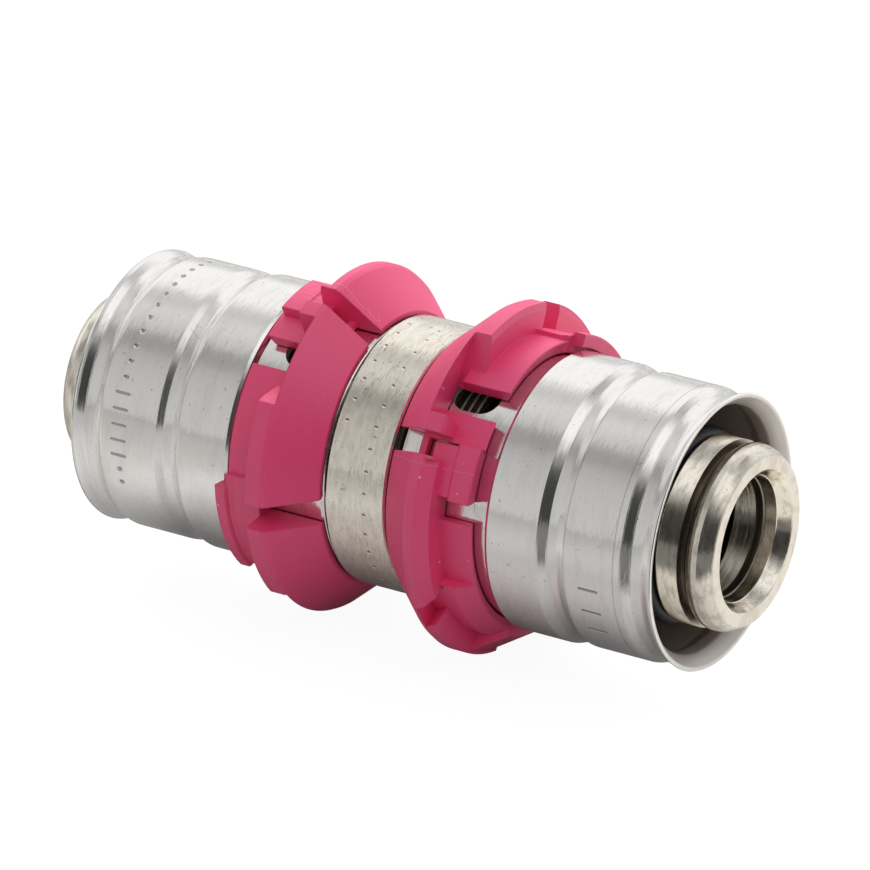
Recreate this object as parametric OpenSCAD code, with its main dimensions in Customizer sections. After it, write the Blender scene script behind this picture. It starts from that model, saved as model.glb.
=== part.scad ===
// Press coupling for multilayer pipe: a turned body with a pressing sleeve and a moulded stop ring on each side.
// Millimetres. The pipe axis is X, Z is up, and the origin lies on the axis in the middle of the collar.
// Angles on a ring start at -Y and rise towards +Z.

/* [Pipe] */
// Outside diameter of the pipe that is joined
pipe_od = 18; // [15:0.5:22]
// Wall thickness of that pipe
pipe_wall = 2; // [1.8:0.1:2.6]
// Radial play between the spigot and the inside of the pipe
spigot_clearance = 0.1; // [0.05:0.05:0.5]
// Radial play between the pipe and the sleeve at its first rolled groove
sleeve_clearance = 0.25; // [0.15:0.05:0.5]
// Radial play between the pipe and the neck of the sleeve
neck_clearance = 0.1; // [0.05:0.05:0.3]

/* [Body] */
// Width of the collar between the two sleeves
collar_width = 5; // [4:0.5:8]
// Height of the collar above the necks of the sleeves
collar_rise = 0.25; // [0.1:0.05:0.8]
// Chamfer on the edges of the collar
collar_chamfer = 0.15; // [0.05:0.05:0.4]
// Radial play between the seat of the body and the neck of the sleeve
seat_clearance = 0.05; // [0.02:0.01:0.1]
// Width of the seat that centres the sleeve
seat_width = 1.45; // [1:0.05:2]
// Depth of the root of the body below the inside of the neck
root_depth = 1.1; // [0.9:0.1:1.4]
// Distance from the face of the collar to the pipe stop
pipe_stop_place = 4.45; // [4.2:0.05:5.5]
// Length of the spigot from the pipe stop to the groove behind the nose
spigot_length = 17.9; // [17:0.1:22]
// Wall of the spigot between the water way and the pipe
spigot_wall = 2.4; // [1.9:0.1:2.6]
// Length of the nose from its rear edge to its face
nose_length = 2.2; // [1.8:0.1:2.4]
// Width of the groove behind the nose
nose_groove_width = 0.4; // [0.2:0.05:0.8]
// Depth of the groove behind the nose
nose_groove_depth = 0.7; // [0.3:0.05:0.9]
// Fall of the nose from its crown to its face
nose_fall = 0.65; // [0.3:0.05:0.8]
// Widening of the water way at its mouth
entry_flare = 0.75; // [0.4:0.05:0.8]
// Length of the flared entry
entry_length = 2; // [1.2:0.1:2.2]

/* [O rings] */
// Cord thickness of the sealing rings
o_ring_cord = 1.5; // [1.2:0.1:1.8]
// Depth of the grooves that hold the sealing rings
o_groove_depth = 1.1; // [0.8:0.05:1.2]
// Width of those grooves
o_groove_width = 2; // [1.9:0.1:2.6]
// Distance from the pipe stop to the inner sealing ring
o_ring_inner_place = 6.05; // [4:0.05:6.5]
// Distance from the groove behind the nose back to the outer sealing ring
o_ring_outer_place = 2.75; // [2.3:0.05:3.5]
// Depth of the retaining teeth between the sealing rings
tooth_depth = 0.25; // [0.1:0.05:0.4]
// Pitch of those teeth
tooth_pitch = 0.9; // [0.6:0.1:1]

/* [Press sleeve] */
// Sheet thickness of the sleeve
sleeve_wall = 0.65; // [0.5:0.05:0.9]
// Length of the sleeve
sleeve_length = 21.55; // [19:0.05:26]
// Gap between the collar and the right sleeve, which has slid outwards
sleeve_gap_right = 0.55; // [0.1:0.05:0.8]
// Gap between the collar and the left sleeve
sleeve_gap_left = 0.15; // [0.1:0.05:0.8]
// Height of the turned-in end that hooks into the body
turned_end_height = 0.75; // [0.4:0.05:0.9]
// Length of the neck that carries the stop ring
neck_length = 7.75; // [7.7:0.05:9]
// Axial length of the slope from the neck to the barrel
shoulder_run = 0.3; // [0.2:0.05:0.8]
// Distance from the mouth to the middle of the first rolled groove
groove_1_place = 8.23; // [7:0.01:9.5]
// Width of the first rolled groove
groove_1_width = 2.4; // [2:0.1:2.8]
// Depth of the first rolled groove
groove_1_depth = 0.4; // [0.2:0.05:0.6]
// Distance from the mouth to the middle of the second rolled groove
groove_2_place = 1.42; // [1.4:0.01:2]
// Width of the second rolled groove
groove_2_width = 2.6; // [2.2:0.1:2.7]
// Depth of the second rolled groove
groove_2_depth = 0.35; // [0.2:0.05:0.6]
// How much closer the second groove comes to the pipe than the first
groove_2_closer = 0.1; // [0:0.02:0.12]
// Flare of the mouth above the bottom of the second groove
mouth_flare = 0.4; // [0.2:0.05:0.7]
// Length of the inspection windows in the neck
window_length = 3.8; // [3.2:0.1:4.2]
// Width of the inspection windows
window_width = 2.8; // [2:0.1:3.4]
// Distance from the inner end of the sleeve to the middle of the windows
window_place = 4.2; // [3.8:0.05:4.6]
// Number of windows in each sleeve
window_count = 4; // [1:1:6]
// Angle of the first window
window_angle = 60; // [0:1:90]

/* [Stop ring] */
// Radial play between the stop ring and the neck
ring_clearance = 0.1; // [0.05:0.05:0.3]
// Distance from the collar to the stop ring
ring_gap = 0.3; // [0.1:0.05:0.4]
// Height of the flange above the bore of the ring
flange_rise = 3.15; // [2.6:0.05:4]
// Height of the front face of the ring
front_height = 0.35; // [0.2:0.05:0.6]
// Length of the cone from the front face to the crest
cone_length = 3.2; // [2.8:0.1:3.4]
// Width of the rim on the solid blocks
rim_width = 1.4; // [1:0.05:1.45]
// Chamfer along the crest of the rim
rim_chamfer = 0.18; // [0.05:0.01:0.3]
// Length of the solid blocks from the front face to their back
block_length = 4.7; // [4.65:0.05:5]
// Thickness of the thin flange at its foot
web_foot = 2.65; // [2.4:0.05:2.8]
// Lean of the back of the thin flange
web_lean = 0.7; // [0.1:0.05:0.9]
// Length of the stop ring
ring_length = 7.35; // [6.8:0.05:7.4]
// Height of the hoop that joins the segments
hoop_height = 0.55; // [0.3:0.05:0.9]
// Width of that hoop
hoop_width = 0.55; // [0.4:0.05:1]
// Width of the narrow slots
slot_width = 1.75; // [1.2:0.05:2.4]
// Width of the wide slot
wide_slot_width = 2; // [1.8:0.05:3]
// Width of the notch in the rim
notch_width = 2.4; // [1.6:0.1:3]
// Height of the rear fingers above the bore of the ring
finger_height = 1.1; // [0.7:0.05:1.5]
// Extra height of the hook pads at the rear of some fingers
pad_height = 0.5; // [0.2:0.05:0.9]
// Width of those hook pads
pad_width = 1.9; // [1:0.1:2.2]
// How far the long hook pad reaches over the barrel of the sleeve
pad_reach = 0.85; // [0.3:0.05:1]
// Undercut at the rear edge of the fingers
finger_undercut = 0.5; // [0.1:0.05:0.7]
// Half of the angle of the flats that the coupling lies on
flat_half_angle = 11; // [8:1:14]
// Turn of the left ring against the right one
left_ring_turn = 72; // [0:1:180]

/* [Hidden] */
smooth = 120;
cut_smooth = 48;
groove_shape = [[-0.5, 1], [-0.45, 0.95], [-0.4, 0.84], [-0.2, 0.15], [-0.15, 0.04], [-0.09, 0],
    [0.09, 0], [0.15, 0.04], [0.2, 0.15], [0.4, 0.84], [0.45, 0.95], [0.5, 1]];
over = 0.5;
far = 40;

pipe_r = pipe_od / 2;
spigot_r = pipe_r - pipe_wall - spigot_clearance;
bore_r = spigot_r - spigot_wall;
neck_in_r = pipe_r + neck_clearance;
neck_r = neck_in_r + sleeve_wall;
groove_1_r = pipe_r + sleeve_clearance + sleeve_wall;
barrel_1_r = groove_1_r + groove_1_depth;
groove_2_r = groove_1_r - groove_2_closer;
barrel_2_r = groove_2_r + groove_2_depth;
mouth_r = groove_2_r + mouth_flare;
collar_r = neck_r + collar_rise;
seat_r = neck_in_r - seat_clearance;
turned_end_r = neck_in_r - turned_end_height;
hook_groove_r = turned_end_r - 0.15;
root_r = neck_in_r - root_depth;

half_collar = collar_width / 2;
hook_groove_end = half_collar + max(sleeve_gap_left, sleeve_gap_right) + sleeve_wall + 0.05;
seat_end = hook_groove_end + seat_width;
stop_x = half_collar + pipe_stop_place;
land_end = stop_x + spigot_length;
nose_x = land_end + nose_groove_width;
face_x = nose_x + nose_length;
left_sleeve_turn = 180 - 2 * window_angle;
o_inner_x = stop_x + o_ring_inner_place;
o_outer_x = land_end - o_ring_outer_place;
o_centre_r = spigot_r - o_groove_depth + o_ring_cord / 2;
teeth_x = (o_inner_x + o_outer_x) / 2 - 1.5 * tooth_pitch;

ring_r = neck_r + ring_clearance;
crest_r = ring_r + flange_rise;
front_r = ring_r + front_height;
ring_x = half_collar + ring_gap;
crest_x = ring_x + cone_length;
rim_end = crest_x + rim_width;
ring_end = ring_x + ring_length;
web_x = ring_x + web_foot;
finger_r = ring_r + finger_height;
pad_r = finger_r + pad_height;
cone_slope = (crest_r - front_r) / cone_length;
block_end = ring_x + block_length;
slant_angle = 75.5;
slant_lean = 35;
notch_angle = -30;

// Turns a profile of [radius, x] points about the pipe axis
module turned(points) {
    rotate([0, 90, 0])
        rotate_extrude($fn = smooth)
            polygon(points);
}

// The same, for the stretch between two ring angles
module sector(from_angle, to_angle, points) {
    rotate([0, 90, 0])
        rotate([0, 0, 270 - to_angle])
            rotate_extrude(angle = to_angle - from_angle, $fn = smooth)
                polygon(points);
}

// A square step between two radii
module sector_step(from_angle, to_angle, r_low, r_high, x_low, x_high) {
    sector(from_angle, to_angle, [[r_low, x_low], [r_high, x_low], [r_high, x_high], [r_low, x_high]]);
}

// A straight-sided cut that runs outwards at one ring angle
module radial_cut(at_angle, width, x_low, x_high) {
    rotate([-at_angle, 0, 0])
        translate([x_low, -far, -width / 2])
            cube([x_high - x_low, far, width]);
}

function flipped(points) = [for (i = [len(points) - 1 : -1 : 0]) [points[i][0], -points[i][1]]];

// Half of the turned outside of the body, from the collar to the nose
outside = [
    [collar_r, half_collar - collar_chamfer],
    [collar_r - collar_chamfer, half_collar],
    [hook_groove_r, half_collar],
    [hook_groove_r, hook_groove_end],
    [seat_r - 0.1, hook_groove_end],
    [seat_r, hook_groove_end + 0.1],
    [seat_r, seat_end - 0.1],
    [seat_r - 0.1, seat_end],
    [root_r, seat_end],
    [root_r, stop_x - 1.1],
    [root_r + 0.12, stop_x - 1.0],
    [root_r, stop_x - 0.9],
    [root_r, stop_x - 0.45],
    [root_r + 0.12, stop_x - 0.35],
    [root_r, stop_x - 0.25],
    [root_r, stop_x - 0.1],
    [root_r - 0.1, stop_x],
    [spigot_r, stop_x],
    [spigot_r, o_inner_x - o_groove_width / 2],
    [spigot_r - o_groove_depth, o_inner_x - o_groove_width / 2],
    [spigot_r - o_groove_depth, o_inner_x + o_groove_width / 2],
    [spigot_r, o_inner_x + o_groove_width / 2],
    [spigot_r, teeth_x],
    [spigot_r - tooth_depth, teeth_x],
    [spigot_r, teeth_x + tooth_pitch],
    [spigot_r - tooth_depth, teeth_x + tooth_pitch],
    [spigot_r, teeth_x + 2 * tooth_pitch],
    [spigot_r - tooth_depth, teeth_x + 2 * tooth_pitch],
    [spigot_r, teeth_x + 3 * tooth_pitch],
    [spigot_r, o_outer_x - o_groove_width / 2],
    [spigot_r - o_groove_depth, o_outer_x - o_groove_width / 2],
    [spigot_r - o_groove_depth, o_outer_x + o_groove_width / 2],
    [spigot_r, o_outer_x + o_groove_width / 2],
    [spigot_r, land_end],
    [spigot_r - nose_groove_depth, land_end],
    [spigot_r - nose_groove_depth, nose_x],
    [spigot_r - 0.6 * nose_fall, nose_x],
    [spigot_r - 0.25 * nose_fall, nose_x + 0.1 * nose_length],
    [spigot_r - 0.05 * nose_fall, nose_x + 0.22 * nose_length],
    [spigot_r, nose_x + 0.34 * nose_length],
    [spigot_r - 0.08 * nose_fall, nose_x + 0.52 * nose_length],
    [spigot_r - 0.29 * nose_fall, nose_x + 0.7 * nose_length],
    [spigot_r - 0.6 * nose_fall, nose_x + 0.86 * nose_length],
    [spigot_r - 0.88 * nose_fall, nose_x + 0.97 * nose_length],
    [spigot_r - nose_fall, face_x]
];

// Half of the water way, from the face inwards
inside = [
    [bore_r + entry_flare + 0.07, face_x],
    [bore_r + entry_flare, face_x - 0.07],
    [bore_r + 0.3 * entry_flare, face_x - 0.48 * entry_length],
    [bore_r + 0.24 * entry_flare, face_x - 0.5 * entry_length],
    [bore_r + 0.07, face_x - 0.97 * entry_length],
    [bore_r, face_x - entry_length]
];

// The nickel-plated body: collar, hook grooves, seats, pipe stops and two spigots
module body() {
    color([0.66, 0.63, 0.57])
        turned(concat(outside, inside, flipped(inside), flipped(outside)));
}

// One rolled groove of the sleeve as [radius, x] points: straight walls with rounded corners and a flat bottom
function rolled(before_r, after_r, bottom_r, middle, width) = [for (corner = groove_shape)
    [bottom_r + ((corner[0] < 0 ? before_r : after_r) - bottom_r) * corner[1],
        middle + width * corner[0]]];

// Outside of the sleeve from its inner end at x = 0 to its mouth
sleeve_outside = concat(
    [
        [neck_r - 0.35, 0],
        [neck_r - 0.1, 0.1],
        [neck_r, 0.35],
        [neck_r, neck_length],
        [barrel_1_r - 0.1, neck_length + 0.75 * shoulder_run],
        [barrel_1_r, neck_length + shoulder_run + 0.15]
    ],
    rolled(barrel_1_r, barrel_2_r, groove_1_r, sleeve_length - groove_1_place, groove_1_width),
    rolled(barrel_2_r, mouth_r - 0.05, groove_2_r, sleeve_length - groove_2_place, groove_2_width),
    [
        [mouth_r, sleeve_length - 0.08],
        [mouth_r - 0.03, sleeve_length - 0.02],
        [mouth_r - 0.1, sleeve_length]
    ]
);

// The same sheet seen from inside, from the mouth back to the inner end
sleeve_inside = concat(
    [
        [mouth_r - 0.25, sleeve_length],
        [mouth_r - 0.35, sleeve_length - 0.05]
    ],
    [for (i = [len(sleeve_outside) - 7 : -1 : 5])
        [sleeve_outside[i][0] - sleeve_wall, sleeve_outside[i][1] + (i == 5 ? sleeve_wall / 2 : 0)]],
    [
        [neck_in_r, neck_length + 0.3],
        [neck_in_r, sleeve_wall],
        [turned_end_r, sleeve_wall],
        [turned_end_r, 0]
    ]
);

// An inspection window: a slot with round ends through the neck
module window() {
    end_place = (window_length - window_width) / 2;
    for (side = [-1, 1])
        translate([side * end_place, 0, 0])
            rotate([90, 0, 0])
                cylinder(h = far, d = window_width, $fn = cut_smooth);
    translate([-end_place, -far, -window_width / 2])
        cube([2 * end_place, far, window_width]);
}

// A press sleeve of thin aluminium: turned-in end, neck with windows, shoulder, rolled grooves and flared mouth
module press_sleeve(gap) {
    color([0.80, 0.81, 0.82])
        translate([half_collar + gap, 0, 0])
            difference() {
                turned(concat(sleeve_outside, sleeve_inside));
                for (i = [0 : window_count - 1])
                    rotate([-window_angle - i * 360 / window_count, 0, 0])
                        translate([window_place, 0, 0])
                            window();
            }
}

// The flange before it is cut: a cone in front, a rim, and a solid back
module flange_blank() {
    turned([
        [ring_r - 0.3, ring_x],
        [front_r, ring_x],
        [crest_r - rim_chamfer, crest_x - rim_chamfer / cone_slope],
        [crest_r, crest_x + rim_chamfer],
        [crest_r, rim_end],
        [crest_r - 0.5, block_end],
        [ring_r - 0.3, block_end]
    ]);
}

// The pocket behind the flange that leaves only its thin web
module pocket(from_angle, to_angle) {
    sector(from_angle, to_angle, [
        [ring_r - 1, web_x],
        [crest_r + over, web_x + web_lean],
        [crest_r + over, block_end + over],
        [ring_r - 1, block_end + over]
    ]);
}

// Everything below the slanted end of the high block
module below_slant() {
    rotate([-slant_angle, 0, 0])
        translate([ring_x, -crest_r, 0])
            rotate([-slant_lean, 0, 0])
                translate([0, -over, -far])
                    cube([far, far, far]);
}

// The long block's rim falls away towards its back
module rim_fall(from_angle, to_angle) {
    sector(from_angle, to_angle, [
        [crest_r + over, crest_x + 0.55 * rim_width],
        [crest_r, crest_x + 0.55 * rim_width],
        [crest_r - 0.9, block_end],
        [crest_r - 0.9, block_end + over],
        [crest_r + over, block_end + over]
    ]);
}

// A small flat on the crest, so that the coupling lies still
module foot_flat(at_angle) {
    flat_r = crest_r * cos(flat_half_angle);
    rotate([-at_angle, 0, 0])
        translate([ring_x - over, -flat_r - far, -far / 2])
            cube([block_length + ring_length, far, far]);
}

// The V-shaped notch in the rim of the long block
module rim_notch() {
    rotate([-notch_angle, 0, 0])
        rotate([90, 0, 0])
            translate([0, 0, finger_r + 0.1])
                linear_extrude(height = far)
                    polygon([
                        [block_end + over, 0.6 * notch_width],
                        [web_x + web_lean + 0.1, 0.3 * notch_width],
                        [web_x + web_lean + 0.1, -0.7 * notch_width],
                        [block_end + over, -0.15 * notch_width]
                    ]);
}

// A rear finger that lies on the neck of the sleeve
module finger(from_angle, to_angle, from_x, extra = 0) {
    sector(from_angle, to_angle, [
        [ring_r - 0.6, from_x],
        [finger_r + extra, from_x],
        [finger_r + extra, ring_end - 0.08],
        [finger_r + extra - 0.08, ring_end],
        [ring_r - 0.6, ring_end - finger_undercut * (finger_height + extra + 0.6) / finger_height]
    ]);
}

// A rear finger whose back slopes from a high root to its end
module ramp(from_angle, to_angle, from_x, root_r, root_x, end_r) {
    sector(from_angle, to_angle, [
        [ring_r - 0.5, from_x],
        [root_r, from_x],
        [root_r, root_x],
        [end_r, ring_end - 0.06],
        [end_r - 0.06, ring_end],
        [ring_r - 0.5, ring_end - finger_undercut]
    ]);
}

// A raised hook pad across the end of a finger
module hook_pad(from_angle, to_angle) {
    sector(from_angle, to_angle, [
        [ring_r - 0.8, ring_end - pad_width],
        [pad_r - 0.2, ring_end - pad_width],
        [pad_r, ring_end - pad_width + 0.25],
        [pad_r, ring_end - 0.1],
        [pad_r - 0.1, ring_end],
        [ring_r - 0.8, ring_end - finger_undercut]
    ]);
}

// The long hook pad, which reaches back over the barrel of the sleeve
module long_pad(from_angle, to_angle) {
    over_barrel_r = barrel_1_r + 0.15;
    sector(from_angle, to_angle, [
        [ring_r - 0.7, ring_end - 0.6],
        [finger_r - 0.3, ring_end - 0.6],
        [finger_r - 0.2, ring_end - 0.25],
        [pad_r - 0.15, ring_end - 0.15],
        [pad_r, ring_end],
        [pad_r, ring_end + pad_reach - 0.1],
        [pad_r - 0.1, ring_end + pad_reach],
        [over_barrel_r, ring_end + pad_reach - 0.15],
        [over_barrel_r, ring_end - 0.1],
        [ring_r - 0.7, ring_end - 0.3]
    ]);
}

// The hoop that crosses the slots and joins the segments
module hoop() {
    turned([
        [ring_r - 0.7, web_x - hoop_width - 0.05],
        [ring_r + hoop_height, web_x - hoop_width - 0.05],
        [ring_r + hoop_height, web_x - 0.05],
        [ring_r - 0.7, web_x - 0.05]
    ]);
}

// The flange with its pockets, slots and notch
module flange() {
    difference() {
        flange_blank();
        intersection() {
            pocket(43, 100);
            below_slant();
        }
        pocket(150.5, 209);
        pocket(259, 281);
        rim_fall(-27, 28);
        rim_notch();
        foot_flat(198);
        foot_flat(270);
        radial_cut(33, slot_width, ring_x - over, block_end + over);
        radial_cut(114.4, wide_slot_width, ring_x - over, block_end + over);
        radial_cut(198, slot_width, ring_x - over, block_end + over);
        radial_cut(270, slot_width, ring_x - over, block_end + over);
    }
}

// The moulded stop ring: slotted cone flange with solid rim blocks, and fingers with hook pads behind it
module stop_ring() {
    color([0.80, 0.24, 0.45])
        difference() {
            union() {
                flange();
                difference() {
                    hoop();
                    radial_cut(114.4, wide_slot_width, ring_x - over, web_x);
                }
                finger(61, 106, crest_x + 0.2, -0.1);
                finger(36.2, 48, web_x - 0.3, -0.2);
                finger(16, 35, crest_x + 0.5, 0.4);
                finger(-22, 6, crest_x + 0.7, -0.4);
                ramp(-63, -21, web_x, finger_r + 0.4, block_end + 1.2, finger_r - 0.4);
                ramp(-88, -62, web_x, crest_r - 0.25, rim_end, finger_r + 0.1);
                ramp(105, 152, rim_end, finger_r + 0.2, ring_end - 0.6, finger_r + 0.3);
                finger(164, 189, web_x - 0.2);
                finger(217, 249, web_x + 0.4);
                hook_pad(15, 36);
                long_pad(110, 153);
                hook_pad(224, 242);
            }
            turned([
                [0, ring_x - over],
                [ring_r, ring_x - over],
                [ring_r, ring_end + over],
                [0, ring_end + over]
            ]);
        }
}

// A sealing ring in its groove
module o_ring(at_x) {
    color([0.05, 0.05, 0.05])
        rotate([0, 90, 0])
            translate([0, 0, at_x])
                rotate_extrude($fn = smooth)
                    translate([o_centre_r, 0])
                        circle(d = o_ring_cord, $fn = cut_smooth);
}

body();
rotate([left_sleeve_turn, 0, 0]) rotate([0, 0, 180]) press_sleeve(sleeve_gap_left);  // press_sleeve_left
press_sleeve(sleeve_gap_right);  // press_sleeve_right
rotate([left_ring_turn, 0, 0]) rotate([0, 0, 180]) stop_ring();  // stop_ring_left
stop_ring();  // stop_ring_right
o_ring(-o_inner_x);  // o_ring_left_inner
o_ring(-o_outer_x);  // o_ring_left_outer
o_ring(o_inner_x);  // o_ring_right_inner
o_ring(o_outer_x);  // o_ring_right_outer
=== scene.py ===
import math

import bpy
from mathutils import Matrix, Vector

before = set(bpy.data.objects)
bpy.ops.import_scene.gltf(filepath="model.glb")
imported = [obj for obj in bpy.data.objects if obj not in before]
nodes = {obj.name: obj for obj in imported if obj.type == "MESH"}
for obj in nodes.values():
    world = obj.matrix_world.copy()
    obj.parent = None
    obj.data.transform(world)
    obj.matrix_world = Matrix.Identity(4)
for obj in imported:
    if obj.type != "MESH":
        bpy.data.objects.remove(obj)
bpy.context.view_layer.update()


# The camera
# A long lens looks down on the coupling from the front right, as the
# photograph was taken.
camera_turn = math.radians(31.407)
camera_height = math.radians(25.077)
camera_distance = 0.645969
lens_length = 368.89
film_width = 36.0
aim = Vector((0.00026, 0.0, 0.0))
# The picture's side, and the point of it that the lens looks straight
# at, in pixels from the upper left corner.
picture_side = 870.0
lens_middle = (429.828, 457.062)

camera_back = Vector((
    math.sin(camera_turn) * math.cos(camera_height),
    -math.cos(camera_turn) * math.cos(camera_height),
    math.sin(camera_height)))
camera_right = Vector((math.cos(camera_turn), math.sin(camera_turn), 0.0))
camera_up = camera_back.cross(camera_right)
camera_data = bpy.data.cameras.new("photo_camera")
camera_data.lens = lens_length
camera_data.sensor_width = film_width
camera_data.shift_x = (picture_side / 2.0 - lens_middle[0]) / picture_side
camera_data.shift_y = (lens_middle[1] - picture_side / 2.0) / picture_side
camera_data.clip_start = 0.01
camera_data.clip_end = 20.0
camera = bpy.data.objects.new("photo_camera", camera_data)
bpy.context.scene.collection.objects.link(camera)
camera.matrix_world = Matrix.Translation(aim + camera_back * camera_distance) @ Matrix((
    camera_right, camera_up, camera_back)).transposed().to_4x4()
bpy.context.scene.camera = camera


# The light tent and the white ground
# The piece lies in a light tent: bright above and behind it, with a dark
# opening for the lens, on a white table that keeps its shadow.
def add_node(tree, kind, **settings):
    """One node of the given kind, with its properties set by name."""
    made = tree.nodes.new(kind)
    for name, value in settings.items():
        setattr(made, name, value)
    return made


def plug(tree, value, socket):
    """Feeds a socket from another node's output, or with a plain value."""
    if hasattr(value, "is_output"):
        tree.links.new(value, socket)
    else:
        socket.default_value = value


def calc(tree, operation, *values):
    """A Math node on one to three values or outputs; gives its output."""
    made = add_node(tree, "ShaderNodeMath", operation=operation)
    for index, value in enumerate(values):
        plug(tree, value, made.inputs[index])
    return made.outputs[0]


def times(tree, product, *factors):
    """The product of two or more values or outputs."""
    for factor in factors:
        product = calc(tree, "MULTIPLY", product, factor)
    return product


def parts_of(tree, vector):
    """The X, Y and Z outputs of a vector."""
    made = add_node(tree, "ShaderNodeSeparateXYZ")
    tree.links.new(vector, made.inputs[0])
    return made.outputs


def band_ramp(tree, value, bands):
    """A smooth grey ramp through (place, level) stops."""
    made = add_node(tree, "ShaderNodeValToRGB")
    made.color_ramp.interpolation = "B_SPLINE"
    while len(made.color_ramp.elements) < len(bands):
        made.color_ramp.elements.new(0.5)
    for stop, (place, level) in zip(made.color_ramp.elements, bands):
        stop.position = place
        stop.color = (level, level, level, 1.0)
    tree.links.new(value, made.inputs[0])
    return made.outputs[0]


def ramp(tree, value, low, high):
    """Rises smoothly from 0 at low to 1 at high."""
    made = add_node(tree, "ShaderNodeMapRange", interpolation_type="SMOOTHSTEP")
    made.clamp = True
    plug(tree, value, made.inputs[0])
    plug(tree, low, made.inputs[1])
    plug(tree, high, made.inputs[2])
    return made.outputs[0]


def lay_over(tree, tone, *layers):
    """Lays colours over a tone in turn, each by its own share."""
    for share, colour in layers:
        made = add_node(tree, "ShaderNodeMix", data_type="RGBA")
        plug(tree, share, made.inputs["Factor"])
        plug(tree, tone, made.inputs[6])
        plug(tree, colour, made.inputs[7])
        tone = made.outputs[2]
    return tone


# Levels of the tent against the angle over the pipe, from the front (0)
# over the top (0.5) to the back (1), on its left and on its right. The
# right side holds the dark opening for the lens.
left_bands = (
    (0.00, 0.57), (0.06, 0.57), (0.15, 0.54), (0.24, 0.50), (0.30, 0.43), (0.325, 0.34), (0.385, 0.33),
    (0.415, 0.56), (0.50, 0.72), (0.55, 0.70), (0.58, 0.59), (0.63, 0.61), (0.66, 0.82), (0.70, 1.00),
    (0.76, 1.30), (0.86, 1.26), (0.92, 0.90), (0.95, 0.75), (1.00, 0.66))
right_bands = (
    (0.00, 0.05), (0.20, 0.05), (0.26, 0.10), (0.34, 0.55), (0.42, 1.10),
    (0.56, 1.10), (0.63, 0.45), (0.74, 0.45), (0.82, 1.00), (1.00, 0.85))
# The two sides meet softly between these parts of a direction's X.
tent_seam = (-0.06, 0.16)
world = bpy.data.worlds.new("light_tent")
world.use_nodes = True
bpy.context.scene.world = world
sky = world.node_tree
sky.nodes.clear()
way = parts_of(sky, add_node(sky, "ShaderNodeTexCoord").outputs["Generated"])
over_pipe = calc(sky, "ARCTAN2", way["Z"], times(sky, way["Y"], -1.0))
share = calc(sky, "DIVIDE", calc(sky, "ABSOLUTE", over_pipe), math.pi)
backdrop = (1.0, 1.0, 1.0, 1.0)
tent = lay_over(
    sky, band_ramp(sky, share, left_bands),
    (ramp(sky, way["X"], *tent_seam), band_ramp(sky, share, right_bands)),
    (add_node(sky, "ShaderNodeLightPath").outputs["Is Camera Ray"], backdrop))
sky_light = add_node(sky, "ShaderNodeBackground")
sky.links.new(tent, sky_light.inputs["Color"])
sky_out = add_node(sky, "ShaderNodeOutputWorld")
sky.links.new(sky_light.outputs[0], sky_out.inputs["Surface"])

# A bright sheet above the back and a broad soft fill beside the lens.
# They light the dull surfaces, and neither is mirrored in the metal.
for label, way, size, far, power in (
        ("tent_sheet", (-0.36, 0.78, 0.51), (0.44, 0.26), 0.6, 3.2),
        ("front_fill", (0.50, -0.62, 0.60), (0.60, 0.60), 0.7, 1.15)):
    lamp_data = bpy.data.lights.new(label, "AREA")
    lamp_data.shape = "RECTANGLE"
    lamp_data.size, lamp_data.size_y = size
    lamp_data.energy = power
    lamp = bpy.data.objects.new(label, lamp_data)
    bpy.context.scene.collection.objects.link(lamp)
    lamp_way = Vector(way).normalized()
    lamp.location = lamp_way * far
    lamp.rotation_mode = "QUATERNION"
    lamp.rotation_quaternion = lamp_way.to_track_quat("Z", "Y")
    lamp.visible_glossy = False

# The table's top lies just under the flats at the rings' feet.
table_top = -0.0131
table_half = 1.5
table_mesh = bpy.data.meshes.new("table")
table_mesh.from_pydata(
    [(-table_half, -table_half, table_top), (table_half, -table_half, table_top),
     (table_half, table_half, table_top), (-table_half, table_half, table_top)],
    [], [(0, 1, 2, 3)])
table = bpy.data.objects.new("table", table_mesh)
bpy.context.scene.collection.objects.link(table)
# Painted shade and light on the table, from 80 mm in front (0) to 80 mm behind (1),
# as the metal and the plastic see it: a painted shadow makes it darkest under the piece.
# It is painted pale past the piece's right end, greyer past its left end, and dark
# in front of the right end, as a painted reflection of the room round the lens.
paper_depth = 0.16
painted_shadow_bands = (
    (0.00, 0.46), (0.20, 0.48), (0.33, 0.69), (0.385, 0.78), (0.42, 0.66), (0.44, 0.52),
    (0.475, 0.30), (0.53, 0.20), (0.62, 0.24), (0.75, 0.36), (1.00, 0.46))
painted_pale_past_right = (0.90, 0.88, 0.84, 1.0)
painted_grey_past_left = (0.42, 0.41, 0.39, 1.0)
painted_dark_before_lens = (0.16, 0.16, 0.16, 1.0)
# The camera sees a white glow, with a dark paper under it that only
# carries the shadow, and the metal sees a trace of the glow.
shadow_paper = (0.14, 0.14, 0.14, 1.0)
glow_seen = 0.93
glow_mirrored = 0.03
paper = bpy.data.materials.new("white_table")
paper.use_nodes = True
tree = paper.node_tree
tree.nodes.clear()
path = add_node(tree, "ShaderNodeLightPath").outputs
mirrored = calc(tree, "ADD", path["Is Glossy Ray"], path["Is Transmission Ray"])
place = parts_of(tree, add_node(tree, "ShaderNodeTexCoord").outputs["Object"])
in_front = ramp(tree, times(tree, place["Y"], -1.0), 0.020, 0.032)
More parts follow.
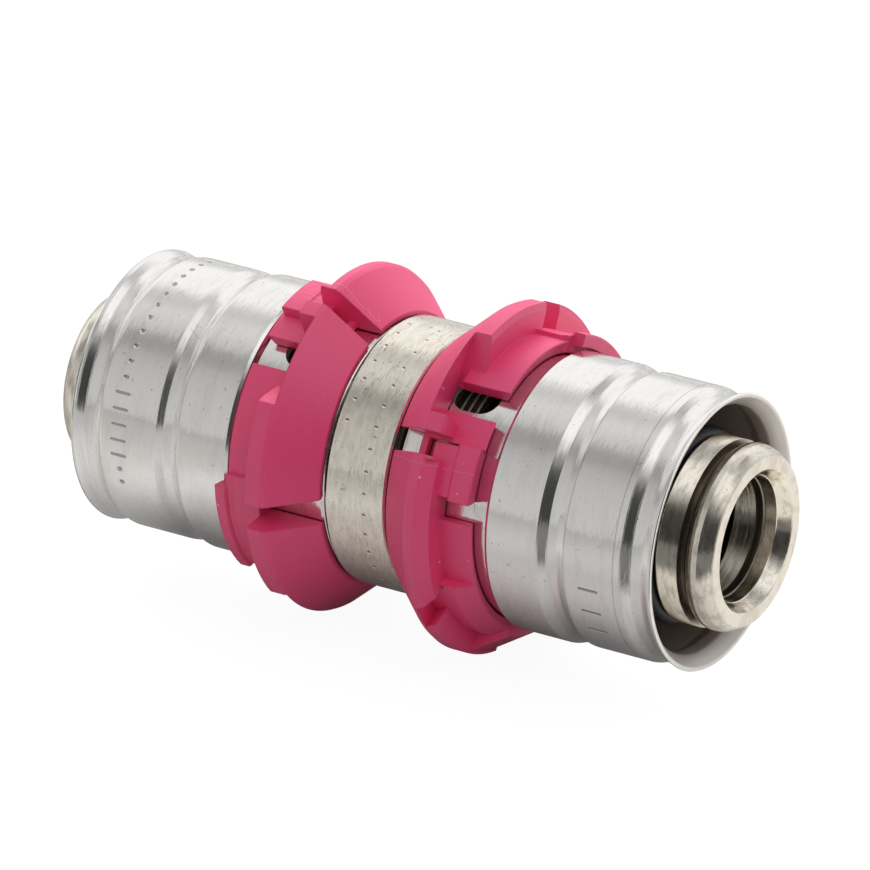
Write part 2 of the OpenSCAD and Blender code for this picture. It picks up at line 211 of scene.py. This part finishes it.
# Painted shadow and reflection levels for the metal and the plastic; the camera sees the dark paper
# under its glow.
painted_table_shade = lay_over(
    tree, band_ramp(tree, calc(tree, "MULTIPLY_ADD", place["Y"], 1.0 / paper_depth, 0.5), painted_shadow_bands),
    (ramp(tree, place["X"], 0.021, 0.029), painted_pale_past_right),
    (times(tree, ramp(tree, times(tree, place["X"], -1.0), 0.022, 0.030), 0.55), painted_grey_past_left),
    (times(tree, in_front, ramp(tree, place["X"], 0.018, 0.028)), painted_dark_before_lens),
    (path["Is Camera Ray"], shadow_paper))
paper_lit = add_node(tree, "ShaderNodeBsdfDiffuse")
tree.links.new(painted_table_shade, paper_lit.inputs["Color"])
paper_glow = add_node(tree, "ShaderNodeEmission")
plug(tree, (1.0, 1.0, 1.0, 1.0), paper_glow.inputs["Color"])
plug(tree, calc(tree, "MULTIPLY_ADD", path["Is Camera Ray"], glow_seen,
                times(tree, mirrored, glow_mirrored)), paper_glow.inputs["Strength"])
paper_sum = add_node(tree, "ShaderNodeAddShader")
tree.links.new(paper_lit.outputs[0], paper_sum.inputs[0])
tree.links.new(paper_glow.outputs[0], paper_sum.inputs[1])
paper_out = add_node(tree, "ShaderNodeOutputMaterial")
tree.links.new(paper_sum.outputs[0], paper_out.inputs["Surface"])
table_mesh.materials.append(paper)


# The body
# One piece turned from brass bar and nickel plated: a collar in the
# middle and a toothed spigot each way, with fine turning lines, light
# scratches, and two rows of punched marks round the collar.
def vector_calc(tree, operation, *values):
    """A Vector Math node on one or two vectors; gives the node."""
    made = add_node(tree, "ShaderNodeVectorMath", operation=operation)
    for index, value in enumerate(values):
        plug(tree, value, made.inputs[index])
    return made


def vector_of(tree, *parts):
    """A vector made of three values or outputs."""
    made = add_node(tree, "ShaderNodeCombineXYZ")
    for index, part in enumerate(parts):
        plug(tree, part, made.inputs[index])
    return made.outputs[0]


def highest(tree, top, *others):
    """The highest of two or more values or outputs."""
    for other in others:
        top = calc(tree, "MAXIMUM", top, other)
    return top


def rest_of(tree, share):
    """What a share leaves of 1."""
    return calc(tree, "SUBTRACT", 1.0, share)


def new_group(name, inputs, outputs):
    """A shader node group with named sockets; gives it, its inputs and its end node."""
    group = bpy.data.node_groups.new(name, "ShaderNodeTree")
    for label, kind, value in inputs:
        socket = group.interface.new_socket(
            name=label, in_out="INPUT", socket_type="NodeSocket" + kind)
        if value is not None:
            socket.default_value = value
    for label, kind in outputs:
        group.interface.new_socket(
            name=label, in_out="OUTPUT", socket_type="NodeSocket" + kind)
    return group, add_node(group, "NodeGroupInput").outputs, add_node(group, "NodeGroupOutput")


def give(group, end, **results):
    """Feeds the outputs of a group by their names."""
    for label, value in results.items():
        group.links.new(value, end.inputs[label])


def place_group(tree, group, **values):
    """Places a node group in a material with its own values; gives its outputs."""
    made = add_node(tree, "ShaderNodeGroup", node_tree=group)
    for label, value in values.items():
        plug(tree, value, made.inputs[label.replace("_", " ")])
    return made.outputs


# Place along the pipe in millimetres, angle round it in degrees from
# the front, and distance from its middle line in millimetres. Outward
# is 1 where a surface faces away from the middle line.
millimetres = 1000.0
round_pipe, start, end = new_group(
    "round_pipe", [("Vector", "Vector", None)],
    [("Along", "Float"), ("Angle", "Float"), ("Radius", "Float"), ("Wrapped", "Vector"),
     ("Outward", "Float"), ("Round", "Vector")])
place = parts_of(round_pipe, start["Vector"])
along = times(round_pipe, place["X"], millimetres)
turn = calc(round_pipe, "ARCTAN2", place["Z"], times(round_pipe, place["Y"], -1.0))
angle = times(round_pipe, turn, 180.0 / math.pi)
radius = times(round_pipe, calc(round_pipe, "SQRT", calc(
    round_pipe, "ADD", calc(round_pipe, "POWER", calc(round_pipe, "ABSOLUTE", place["Y"]), 2.0),
    calc(round_pipe, "POWER", calc(round_pipe, "ABSOLUTE", place["Z"]), 2.0))), millimetres)
outwards = vector_calc(round_pipe, "NORMALIZE",
                       vector_of(round_pipe, 0.0, place["Y"], place["Z"])).outputs[0]
faced = vector_calc(round_pipe, "DOT_PRODUCT", outwards,
                    add_node(round_pipe, "ShaderNodeNewGeometry").outputs["Normal"]).outputs["Value"]
sideways = vector_calc(round_pipe, "CROSS_PRODUCT", (1.0, 0.0, 0.0), outwards).outputs[0]
give(round_pipe, end, Along=along, Angle=angle, Radius=radius,
     Wrapped=vector_of(round_pipe, along, angle, radius), Outward=faced, Round=sideways)

# Marks punched at equal steps round the pipe: a hollow of the given
# radius wherever the place is near a mark of the row, and the lower side
# of each hollow, where a highlight is painted.
dot_row, start, end = new_group(
    "dot_row",
    [("Along", "Float", 0.0), ("Angle", "Float", 0.0), ("Row", "Float", 0.0),
     ("Step", "Float", 10.0), ("First", "Float", 0.0), ("From", "Float", -180.0),
     ("To", "Float", 180.0), ("Size", "Float", 0.25), ("Barrel", "Float", 10.0),
     ("Length", "Float", 0.0)],
    [("Hollow", "Float"), ("Lit", "Float")])
steps = calc(dot_row, "DIVIDE", calc(dot_row, "SUBTRACT", start["Angle"], start["First"]), start["Step"])
nearest = calc(dot_row, "SUBTRACT", steps, calc(dot_row, "ROUND", steps))
sideways = times(dot_row, times(dot_row, nearest, start["Step"]),
                 times(dot_row, start["Barrel"], math.pi / 180.0))
lengthways = calc(dot_row, "MAXIMUM", calc(
    dot_row, "SUBTRACT", calc(dot_row, "ABSOLUTE", calc(
        dot_row, "SUBTRACT", start["Along"], start["Row"])), start["Length"]), 0.0)
away = calc(dot_row, "SQRT", calc(dot_row, "ADD", times(dot_row, sideways, sideways),
                                  times(dot_row, lengthways, lengthways)))
share = calc(dot_row, "DIVIDE", away, start["Size"])
lower_side = calc(dot_row, "DIVIDE", times(dot_row, sideways, -1.0), start["Size"])
hollow = rest_of(dot_row, ramp(dot_row, share, 0.35, 1.0))
lit = times(dot_row, rest_of(dot_row, ramp(dot_row, share, 0.75, 1.05)),
            ramp(dot_row, lower_side, 0.15, 0.4))
within = times(dot_row, calc(dot_row, "GREATER_THAN", start["Angle"], start["From"]),
               calc(dot_row, "LESS_THAN", start["Angle"], start["To"]))
give(dot_row, end, Hollow=times(dot_row, hollow, within), Lit=times(dot_row, lit, within))

# Small grain stretched along or round the pipe: fine lines and specks.
drawn_grain, start, end = new_group(
    "drawn_grain",
    [("Wrapped", "Vector", None), ("Lines along", "Float", 1.0),
     ("Lines round", "Float", 1.0), ("Detail", "Float", 4.0)],
    [("Grain", "Float")])
noise = add_node(drawn_grain, "ShaderNodeTexNoise")
noise.inputs["Scale"].default_value = 1.0
plug(drawn_grain, start["Detail"], noise.inputs["Detail"])
plug(drawn_grain, vector_calc(
    drawn_grain, "MULTIPLY", start["Wrapped"],
    vector_of(drawn_grain, start["Lines along"], start["Lines round"], 1.0)).outputs[0],
    noise.inputs["Vector"])
give(drawn_grain, end, Grain=noise.outputs[0])

# A normal that leans to and fro round the pipe with a grain, as on turned
# metal, so that every reflection frays along the turning marks.
frayed, start, end = new_group(
    "frayed",
    [("Grain", "Float", 0.5), ("Round", "Vector", None), ("Lean", "Float", 0.1)],
    [("Normal", "Vector")])
leaning = vector_calc(frayed, "SCALE", start["Round"])
plug(frayed, times(frayed, calc(frayed, "SUBTRACT", start["Grain"], 0.5), start["Lean"]),
     leaning.inputs["Scale"])
summed = vector_calc(frayed, "ADD", add_node(frayed, "ShaderNodeNewGeometry").outputs["Normal"],
                     leaning.outputs[0])
give(frayed, end, Normal=vector_calc(frayed, "NORMALIZE", summed.outputs[0]).outputs[0])

# Thin winding hairlines: narrow bands of a noise round its middle value,
# kept only where a broader noise, taken elsewhere, is high.
elsewhere = (31.0, 57.0, 13.0)
hairlines, start, end = new_group(
    "hairlines",
    [("Wrapped", "Vector", None), ("Along", "Float", 1.0), ("Round", "Float", 0.15),
     ("Width", "Float", 0.01), ("Share", "Float", 0.6)],
    [("Line", "Float")])
winding = place_group(hairlines, drawn_grain, Wrapped=start["Wrapped"], Lines_along=start["Along"],
                      Lines_round=start["Round"], Detail=2.0)["Grain"]
places = place_group(hairlines, drawn_grain,
                     Wrapped=vector_calc(hairlines, "ADD", start["Wrapped"], elsewhere).outputs[0],
                     Lines_along=times(hairlines, start["Along"], 0.8),
                     Lines_round=times(hairlines, start["Round"], 0.8), Detail=1.0)["Grain"]
off_middle = calc(hairlines, "ABSOLUTE", calc(hairlines, "SUBTRACT", winding, 0.5))
thin = rest_of(hairlines, ramp(hairlines, off_middle, 0.0, start["Width"]))
kept = ramp(hairlines, places, start["Share"], calc(hairlines, "ADD", start["Share"], 0.05))
give(hairlines, end, Line=times(hairlines, thin, kept))


def finish_material(name, rest_colour):
    """A new material; gives it, its tree, its Principled BSDF and its places on the pipe."""
    made = bpy.data.materials.new(name)
    made.diffuse_color = rest_colour
    made.use_nodes = True
    tree = made.node_tree
    tree.nodes.clear()
    shader = add_node(tree, "ShaderNodeBsdfPrincipled")
    out = add_node(tree, "ShaderNodeOutputMaterial")
    tree.links.new(shader.outputs[0], out.inputs["Surface"])
    where = add_node(tree, "ShaderNodeTexCoord").outputs["Object"]
    return made, tree, shader, place_group(tree, round_pipe, Vector=where)


def grain(tree, pipe, along, around, detail):
    """Grain, with its fineness a millimetre along the pipe and a degree round it."""
    return place_group(tree, drawn_grain, Wrapped=pipe["Wrapped"], Lines_along=along,
                       Lines_round=around, Detail=detail)["Grain"]


def punch(tree, pipe, **settings):
    """One row of punched marks on the pipe; gives its Hollow and Lit outputs."""
    return place_group(tree, dot_row, Along=pipe["Along"], Angle=pipe["Angle"], **settings)


def raise_surface(tree, shader, height, normal):
    """Bumps a normal by a height in millimetres, and gives it to the shader."""
    bump = add_node(tree, "ShaderNodeBump")
    bump.inputs["Strength"].default_value = 1.0
    bump.inputs["Distance"].default_value = 0.001
    tree.links.new(normal, bump.inputs["Normal"])
    tree.links.new(height, bump.inputs["Height"])
    tree.links.new(bump.outputs[0], shader.inputs["Normal"])


def dress(material, *names):
    """Gives the CAD nodes of these names their material."""
    for name in names:
        nodes[name].material_slots[0].material = material


nickel, tree, shader, pipe = finish_material("nickel_plate", (0.78, 0.74, 0.66, 1.0))
from_middle = calc(tree, "ABSOLUTE", pipe["Along"])
turning = grain(tree, pipe, 9.0, 0.22, 5.0)
rings = grain(tree, pipe, 5.0, 0.004, 3.0)
stains = grain(tree, pipe, 2.2, 0.09, 7.0)
specks = grain(tree, pipe, 3.6, 0.62, 2.0)
hairs = place_group(tree, hairlines, Wrapped=pipe["Wrapped"],
                    Along=0.9, Round=0.16, Width=0.008, Share=0.55)["Line"]
# The collar's two rows of marks, 38 steps a turn. The left row has
# none on the lower front and the underside.
left_marks, right_marks = [
    punch(tree, pipe, Row=row, Step=9.474, First=73.0, From=lowest, To=180.0, Size=0.18, Barrel=10.0)
    for row, lowest in ((-1.67, 31.0), (0.78, -180.0))]

# Parts of the body, by distances from its middle and from the pipe's
# middle line in millimetres.
on_collar = ramp(tree, pipe["Radius"], 9.85, 9.95)
off_collar = rest_of(tree, on_collar)
collar_edge = times(tree, on_collar, ramp(
    tree, calc(tree, "MULTIPLY_ADD", specks, 0.7, from_middle), 2.92, 3.0))
in_nose_groove = times(tree, ramp(tree, from_middle, 24.78, 24.9),
                       rest_of(tree, ramp(tree, from_middle, 25.3, 25.75)))
on_face = times(tree, ramp(tree, from_middle, 27.3, 27.42), ramp(tree, pipe["Radius"], 5.2, 5.4))
in_root = times(tree, calc(tree, "LESS_THAN", from_middle, 13.0), times(
    tree, calc(tree, "LESS_THAN", pipe["Radius"], 8.8), calc(tree, "GREATER_THAN", pipe["Radius"], 4.8)))
in_bore = rest_of(tree, ramp(tree, pipe["Radius"], 4.51, 4.56))
on_land = times(tree, ramp(tree, from_middle, 23.0, 23.3), calc(tree, "LESS_THAN", from_middle, 24.86))
marks = times(tree, on_collar, highest(tree, left_marks["Hollow"], right_marks["Hollow"]))
# Painted highlights: the lit side of each punched mark, made pale and matt.
glints = times(tree, on_collar, highest(tree, left_marks["Lit"], right_marks["Lit"]))
handled = times(tree, ramp(tree, stains, 0.48, 0.60), 0.30)
# Behind the windows, painted shade makes the roots dark, with narrow stripes painted pale as highlights
# on the teeth.
painted_tooth_highlights = calc(tree, "GREATER_THAN", calc(tree, "FRACT", times(tree, from_middle, 1.6)), 0.72)
painted_root_shade_and_stripes = lay_over(tree, (0.09, 0.07, 0.05, 1.0), (painted_tooth_highlights, (0.90, 0.86, 0.78, 1.0)))

painted_shade_brown = (0.10, 0.065, 0.045, 1.0)
tone = lay_over(
    tree, (0.92, 0.87, 0.77, 1.0),
    (ramp(tree, stains, 0.40, 0.70), (0.79, 0.73, 0.62, 1.0)),
    (times(tree, ramp(tree, turning, 0.54, 0.70), calc(tree, "MULTIPLY_ADD", on_collar, 0.28, 0.12)),
     (0.33, 0.29, 0.24, 1.0)),
    (times(tree, off_collar, 0.10), (0.30, 0.27, 0.23, 1.0)),
    (times(tree, handled, off_collar), (0.42, 0.37, 0.31, 1.0)),
    (times(tree, ramp(tree, specks, 0.71, 0.76), 0.75), (0.16, 0.11, 0.08, 1.0)),
    (times(tree, hairs, 0.55), (0.14, 0.12, 0.10, 1.0)),
    # Painted shade darkens the hollows of the punched marks.
    (times(tree, marks, 0.75), (0.13, 0.09, 0.07, 1.0)),
    # Painted shade darkens the collar's ragged edges and the nose's groove.
    (times(tree, collar_edge, 0.8), painted_shade_brown),
    (times(tree, in_nose_groove, 0.85), painted_shade_brown),
    (times(tree, on_face, 0.5), (0.66, 0.62, 0.56, 1.0)),
    # Painted shade darkens the bore.
    (times(tree, in_bore, 0.8), (0.15, 0.135, 0.11, 1.0)),
    # Painted shade and highlights behind the windows.
    (in_root, painted_root_shade_and_stripes),
    # Painted highlights on the punched marks.
    (glints, (0.97, 0.96, 0.93, 1.0)))
plug(tree, tone, shader.inputs["Base Color"])
plug(tree, rest_of(tree, highest(tree, glints, times(tree, in_root, 0.45))), shader.inputs["Metallic"])
plug(tree, calc(tree, "ADD", calc(tree, "MULTIPLY_ADD", turning, 0.18, 0.08),
                calc(tree, "MULTIPLY_ADD", in_nose_groove, 0.25, times(tree, on_face, 0.22))),
     shader.inputs["Roughness"])
# The land behind the nose's groove looks crowned: its normal leans out.
crown = times(tree, on_land, times(tree, calc(tree, "SUBTRACT", from_middle, 23.2), -0.60))
height = calc(tree, "ADD", times(tree, turning, 0.007), calc(
    tree, "MULTIPLY_ADD", rings, calc(tree, "MULTIPLY_ADD", in_bore, 0.05, 0.006),
    calc(tree, "MULTIPLY_ADD", marks, -0.04, crown)))
raise_surface(tree, shader, height, place_group(
    tree, frayed, Grain=turning, Round=pipe["Round"],
    Lean=calc(tree, "MULTIPLY_ADD", on_collar, 0.20, 0.03))["Normal"])
dress(nickel, "body")


# The O-rings
# Four black rubber rings in the grooves of the spigots, moulded
# smooth and lightly greased. They seal against the pipe's wall.
rubber, tree, shader, pipe = finish_material("seal_rubber", (0.02, 0.02, 0.02, 1.0))
bloom = grain(tree, pipe, 3.0, 0.3, 4.0)
plug(tree, lay_over(tree, (0.012, 0.012, 0.013, 1.0), (bloom, (0.030, 0.030, 0.032, 1.0))),
     shader.inputs["Base Color"])
plug(tree, calc(tree, "MULTIPLY_ADD", bloom, 0.25, 0.35), shader.inputs["Roughness"])
dress(rubber, "o_ring_left_inner", "o_ring_left_outer", "o_ring_right_inner", "o_ring_right_outer")


# The press sleeves
# Two sleeves rolled from thin aluminium and hooked on the body. They are
# bright outside and dull inside, where painted shade darkens them away from the mouth,
# with soft drawing marks, small stains, and a stamped row of plain dots and ticks near each mouth.
def thread_line(tree, along, place, half_width):
    """1 on a thin line at the given place, falling to 0 beside it."""
    off = calc(tree, "ABSOLUTE", calc(tree, "SUBTRACT", along, place))
    return rest_of(tree, ramp(tree, off, 0.0, half_width))


aluminium, tree, shader, pipe = finish_material("sleeve_aluminium", (0.85, 0.85, 0.85, 1.0))
cloud = grain(tree, pipe, 1.1, 0.05, 7.0)
brushed = grain(tree, pipe, 10.0, 0.20, 5.0)
ripple = grain(tree, pipe, 0.4, 0.06, 2.0)
pits = grain(tree, pipe, 3.0, 0.5, 1.0)
scratches = place_group(tree, hairlines, Wrapped=pipe["Wrapped"],
                        Along=0.35, Round=0.05, Width=0.004, Share=0.56)["Line"]
outside = ramp(tree, pipe["Outward"], -0.1, 0.2)
near_mouth = ramp(tree, calc(tree, "ABSOLUTE", pipe["Along"]), 23.5, 24.4)
# Each stamped row: its place, step, first mark, lowest and highest angle,
# size, and half a tick's straight length. The left sleeve has dots above
# and below its ticks, and the right one has three ticks.
stamped = [
    punch(tree, pipe, Row=row, Step=step, First=first, From=lowest, To=top, Size=size, Length=length,
          Barrel=10.0)["Hollow"]
    for row, step, first, lowest, top, size, length in (
        (-20.1, 6.75, 29.5, 26.0, 110.0, 0.26, 0.0), (-20.1, 6.75, 29.5, -21.0, -8.0, 0.26, 0.0),
        (-20.1, 6.75, 29.5, -8.0, 26.0, 0.14, 0.55), (19.4, 11.5, -10.0, -38.0, -5.0, 0.13, 0.7))]
punched = times(tree, outside, highest(tree, *stamped))
# Faint dark lines beside the grooves.
lines_by_grooves = times(tree, outside, highest(tree, *[
    thread_line(tree, pipe["Along"], place, 0.09) for place in (17.45, 21.5, -15.05, -21.8)]))

tone = lay_over(
    tree, (0.92, 0.905, 0.88, 1.0),
    (ramp(tree, cloud, 0.45, 0.75), (0.84, 0.83, 0.81, 1.0)),
    (times(tree, ramp(tree, brushed, 0.54, 0.72), 0.26), (0.50, 0.50, 0.51, 1.0)),
    (times(tree, ramp(tree, pits, 0.73, 0.78), 0.5), (0.30, 0.29, 0.28, 1.0)),
    (times(tree, scratches, 0.35), (0.42, 0.41, 0.40, 1.0)),
    (times(tree, lines_by_grooves, 0.6), (0.40, 0.39, 0.38, 1.0)),
    # Painted shade darkens the stamped hollows.
    (times(tree, punched, 0.65), (0.20, 0.19, 0.18, 1.0)))
# Inside, painted shade: dark away from the mouth and paler near it.
inside_painted_shade = lay_over(tree, (0.36, 0.30, 0.27, 1.0), (near_mouth, (0.62, 0.60, 0.58, 1.0)))
plug(tree, lay_over(tree, inside_painted_shade, (outside, tone)), shader.inputs["Base Color"])
plug(tree, highest(tree, calc(tree, "MULTIPLY_ADD", near_mouth, 0.5, 0.4), outside),
     shader.inputs["Metallic"])
plug(tree, calc(tree, "ADD", calc(tree, "MULTIPLY_ADD", brushed, 0.14, 0.07),
                times(tree, rest_of(tree, outside), 0.34)), shader.inputs["Roughness"])
height = calc(tree, "ADD", times(tree, brushed, 0.006), calc(
    tree, "MULTIPLY_ADD", ripple, 0.018, calc(
        tree, "MULTIPLY_ADD", punched, -0.09, times(tree, scratches, -0.006))))
raise_surface(tree, shader, height, place_group(
    tree, frayed, Grain=brushed, Round=pipe["Round"], Lean=0.12)["Normal"])
dress(aluminium, "press_sleeve_left", "press_sleeve_right")


# The stop rings
# Two slotted rings moulded in pink plastic and snapped on the necks.
# The surface is dull and faintly grained, with pale dust specks, a thin
# flash line where the mould closed, and a small vent mark.
right_flash = 26.0
left_flash = 82.0
plastic, tree, shader, pipe = finish_material("ring_plastic", (0.62, 0.06, 0.16, 1.0))
fine = grain(tree, pipe, 9.0, 1.8, 3.0)
broad = grain(tree, pipe, 0.6, 0.08, 4.0)
dust = grain(tree, pipe, 2.6, 0.52, 1.0)
on_left = calc(tree, "LESS_THAN", pipe["Along"], 0.0)
flash_angle = calc(tree, "MULTIPLY_ADD", on_left, left_flash - right_flash, right_flash)
wander = calc(tree, "MULTIPLY_ADD", broad, 2.0, -1.0)
flash = times(tree, thread_line(tree, calc(tree, "ADD", pipe["Angle"], wander), flash_angle, 0.42),
              ramp(tree, pipe["Outward"], 0.3, 0.8))
vent = punch(tree, pipe, Row=7.7, Step=360.0, First=-22.0, Size=0.2, Barrel=11.0)["Hollow"]
tone = lay_over(
    tree, (0.83, 0.050, 0.190, 1.0),
    (broad, (0.77, 0.045, 0.170, 1.0)),
    (times(tree, ramp(tree, dust, 0.79, 0.81), 0.7), (0.90, 0.70, 0.75, 1.0)),
    (times(tree, flash, 0.2), (0.95, 0.35, 0.50, 1.0)),
    (times(tree, vent, 0.9), (0.10, 0.01, 0.02, 1.0)))
plug(tree, tone, shader.inputs["Base Color"])
shader.inputs["Specular IOR Level"].default_value = 1.0
plug(tree, calc(tree, "MULTIPLY_ADD", fine, 0.16, 0.38), shader.inputs["Roughness"])
soft_edge = add_node(tree, "ShaderNodeBevel", samples=6)
soft_edge.inputs["Radius"].default_value = 0.00013
raise_surface(tree, shader, calc(tree, "ADD", times(tree, fine, 0.016), times(tree, flash, 0.03)),
              soft_edge.outputs[0])
dress(plastic, "stop_ring_left", "stop_ring_right")


# The picture
# Colours are shown as they are written.
bpy.context.scene.view_settings.view_transform = "Standard"
